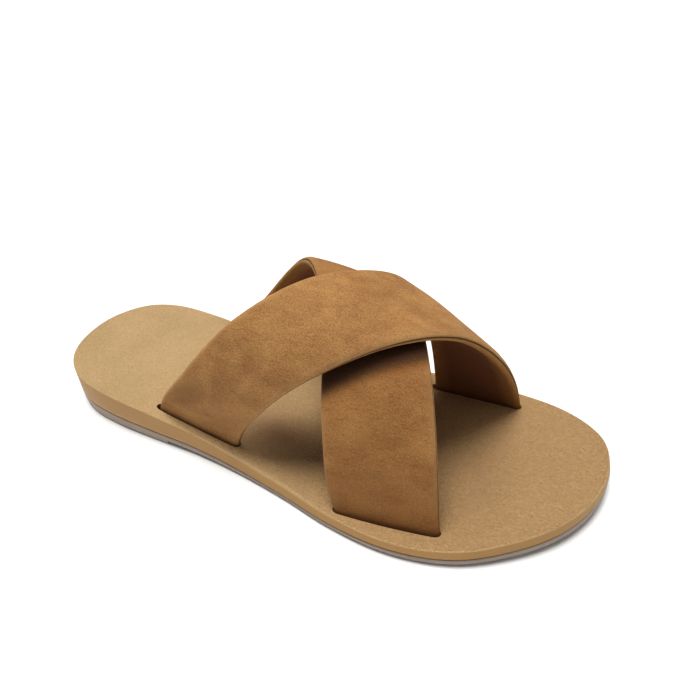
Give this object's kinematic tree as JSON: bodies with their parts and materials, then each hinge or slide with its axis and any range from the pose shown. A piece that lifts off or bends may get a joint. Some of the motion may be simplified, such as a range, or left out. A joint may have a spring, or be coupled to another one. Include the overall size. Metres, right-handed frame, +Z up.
{
  "type": "cross strap sandal",
  "caption": "Flat slip-on sandal for the right foot with wide padded crossed straps set in slots of a moulded tan footbed on a thin rubber outsole.",
  "frame": {"origin": "centre of the bounding box in plan, at the floor that the sole stands on", "axes": "+X from heel to toe along the sole, +Y to the medial (big toe) side, +Z up"},
  "size_m": [0.2712, 0.1024, 0.0827],
  "materials": {
    "outsole_rubber": "matte",
    "footbed_foam": "matte, fine pebble",
    "strap_leather": "brushed nap"
  },
  "bodies": {
    "root": {"outsole": "outsole_rubber", "footbed": "footbed_foam", "upper": "strap_leather"}
  },
  "joints": []
}
